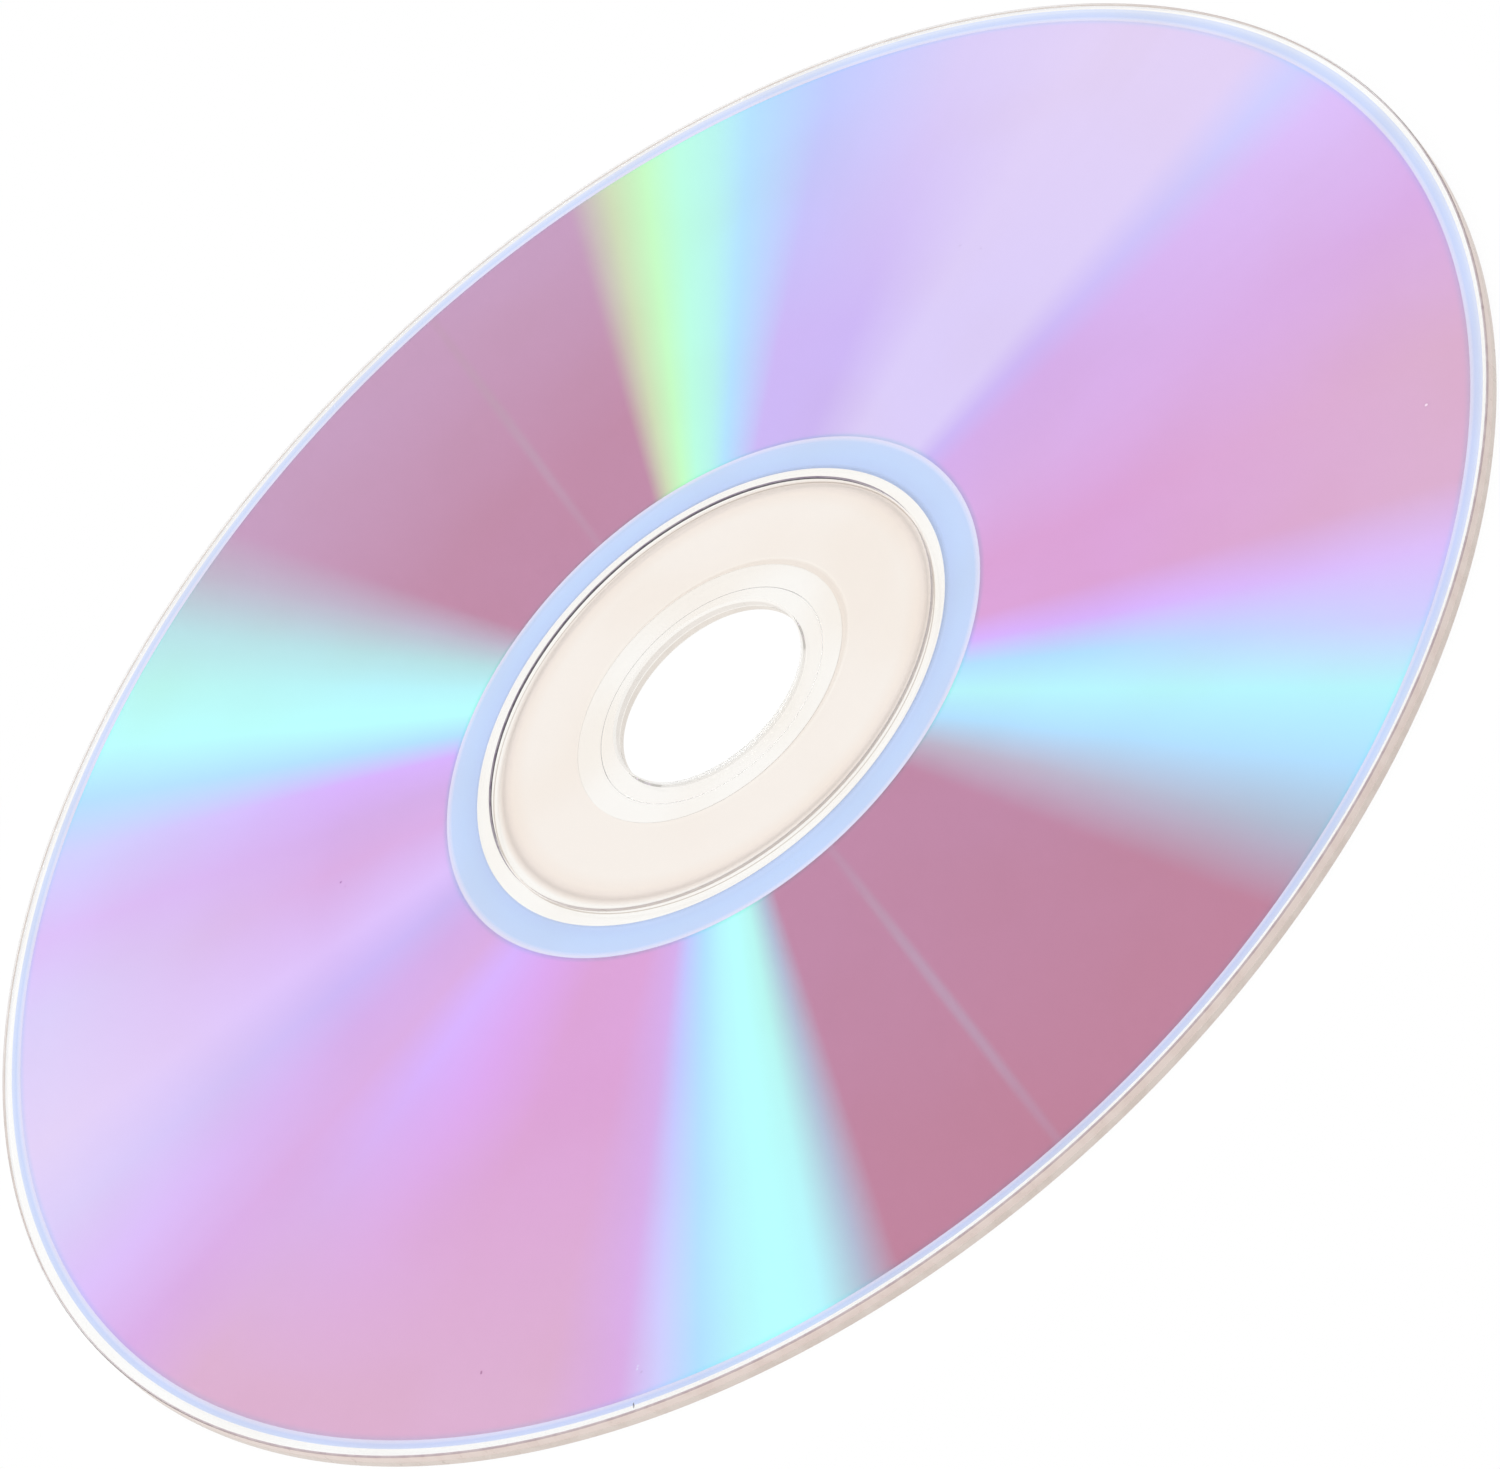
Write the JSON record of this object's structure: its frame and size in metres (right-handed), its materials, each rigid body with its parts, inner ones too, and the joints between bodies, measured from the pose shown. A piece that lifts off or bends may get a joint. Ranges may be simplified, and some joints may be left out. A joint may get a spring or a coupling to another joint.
{
  "type": "recordable optical disc",
  "caption": "Round recordable optical disc lying read side up, with a centre hole, clear hub, fine ring grooves, bare metal ring and purple dye band.",
  "frame": {"origin": "on the disc's axis, in the plane of the label side's outer face, which the disc rests on", "axes": "+Z along the disc's axis, out of the read side; X and Y lie in the disc's plane"},
  "size_m": [0.12, 0.12, 0.0012],
  "materials": {
    "label_side_polycarbonate": "clear gloss",
    "bonding_adhesive": "clear",
    "reflector_metal": "mirror",
    "recording_dye": "gloss, iridescent",
    "read_side_polycarbonate": "clear gloss"
  },
  "bodies": {
    "root": {"label_side_half": "label_side_polycarbonate", "bonding_adhesive": "bonding_adhesive", "metal_reflector": "reflector_metal", "dye_layer": "recording_dye", "read_side_half": "read_side_polycarbonate"}
  },
  "joints": []
}
